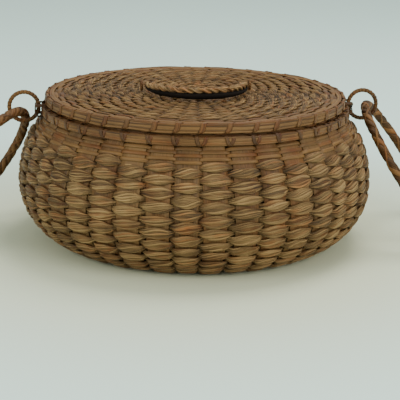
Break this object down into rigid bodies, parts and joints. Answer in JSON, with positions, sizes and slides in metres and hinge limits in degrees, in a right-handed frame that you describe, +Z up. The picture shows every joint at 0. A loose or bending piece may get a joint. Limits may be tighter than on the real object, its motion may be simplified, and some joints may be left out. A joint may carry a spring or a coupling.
{
  "type": "covered basket",
  "caption": "Round woven sewing basket with a flat lift-off lid, a small bail on the lid and two hoop handles hanging from wrapped rings at the rim.",
  "frame": {"origin": "centre of the underside of the base, on the basket's vertical axis", "axes": "+Z up out of the mouth, +X towards the right ear, +Y towards the back; the bail lies towards -Y"},
  "size_m": [0.3455, 0.2262, 0.1036],
  "materials": {
    "ash_splint": "smooth dry splint, aged tan-brown",
    "sweetgrass": "twisted dry grass bundles, matt, greenish tan to brown",
    "ash_hoop": "bent hoop, smooth, slightly glossy with handling",
    "lashing_splint": "thin shaved splint, satin",
    "wrapped_handle": "stiff core wrapped and twisted with dark grass, satin"
  },
  "bodies": {
    "basket": {"base_hub": "ash_splint", "base_row_01": "ash_splint", "base_row_02": "ash_splint", "base_row_03": "ash_splint", "base_row_04": "ash_splint", "base_row_05": "ash_splint", "base_row_06": "ash_splint", "base_row_07": "ash_splint", "base_row_08": "ash_splint", "base_row_09": "ash_splint", "base_row_10": "ash_splint", "base_row_11": "ash_splint", "base_row_12": "ash_splint", "ear_bindings": "lashing_splint", "ear_ring_left": "wrapped_handle", "ear_ring_right": "wrapped_handle", "grass_row_01": "sweetgrass", "grass_row_02": "sweetgrass", "grass_row_03": "sweetgrass", "grass_row_04": "sweetgrass", "grass_row_05": "sweetgrass", "grass_row_06": "sweetgrass", "grass_row_07": "sweetgrass", "grass_row_08": "sweetgrass", "grass_row_09": "sweetgrass", "grass_row_10": "sweetgrass", "grass_row_11": "sweetgrass", "grass_row_12": "sweetgrass", "grass_row_13": "sweetgrass", "grass_row_14": "sweetgrass", "grass_row_15": "sweetgrass", "grass_row_16": "sweetgrass", "grass_row_17": "sweetgrass", "grass_row_18": "sweetgrass", "grass_row_19": "sweetgrass", "grass_row_20": "sweetgrass", "grass_row_21": "sweetgrass", "rim_inner_hoop": "ash_hoop", "rim_lashing": "lashing_splint", "rim_outer_hoop": "ash_hoop", "splint_row_1": "ash_splint", "splint_row_2": "ash_splint", "splint_row_3": "ash_splint", "splint_row_4": "ash_splint", "splint_row_5": "ash_splint", "uprights": "ash_splint"},
    "lid": {"lid_grass_rows": "sweetgrass", "lid_handle_loops": "wrapped_handle", "lid_hub": "ash_splint", "lid_inner_hoop": "ash_hoop", "lid_lashing": "lashing_splint", "lid_outer_hoop": "ash_hoop", "lid_splint_rows": "ash_splint", "lid_spokes": "ash_splint"},
    "lid_handle": {"lid_handle": "wrapped_handle"},
    "handle_left": {"handle_left": "wrapped_handle"},
    "handle_right": {"handle_right": "wrapped_handle"}
  },
  "joints": [
    {"name": "lid_lift", "type": "slide", "parent": "basket", "child": "lid", "axis": [0, 0, 1], "range_m": [0, 0.12]},
    {"name": "lid_handle_swing", "type": "hinge", "parent": "lid", "child": "lid_handle", "pos_m": [0, 0, 0.0987], "axis": [-1, 0, 0], "range_deg": [0, 174]},
    {"name": "handle_left_swing", "type": "hinge", "parent": "basket", "child": "handle_left", "pos_m": [-0.10875, 0, 0.0857], "axis": [0, 1, 0], "range_deg": [0, 125]},
    {"name": "handle_right_swing", "type": "hinge", "parent": "basket", "child": "handle_right", "pos_m": [0.10875, 0, 0.0857], "axis": [0, -1, 0], "range_deg": [0, 140]}
  ]
}
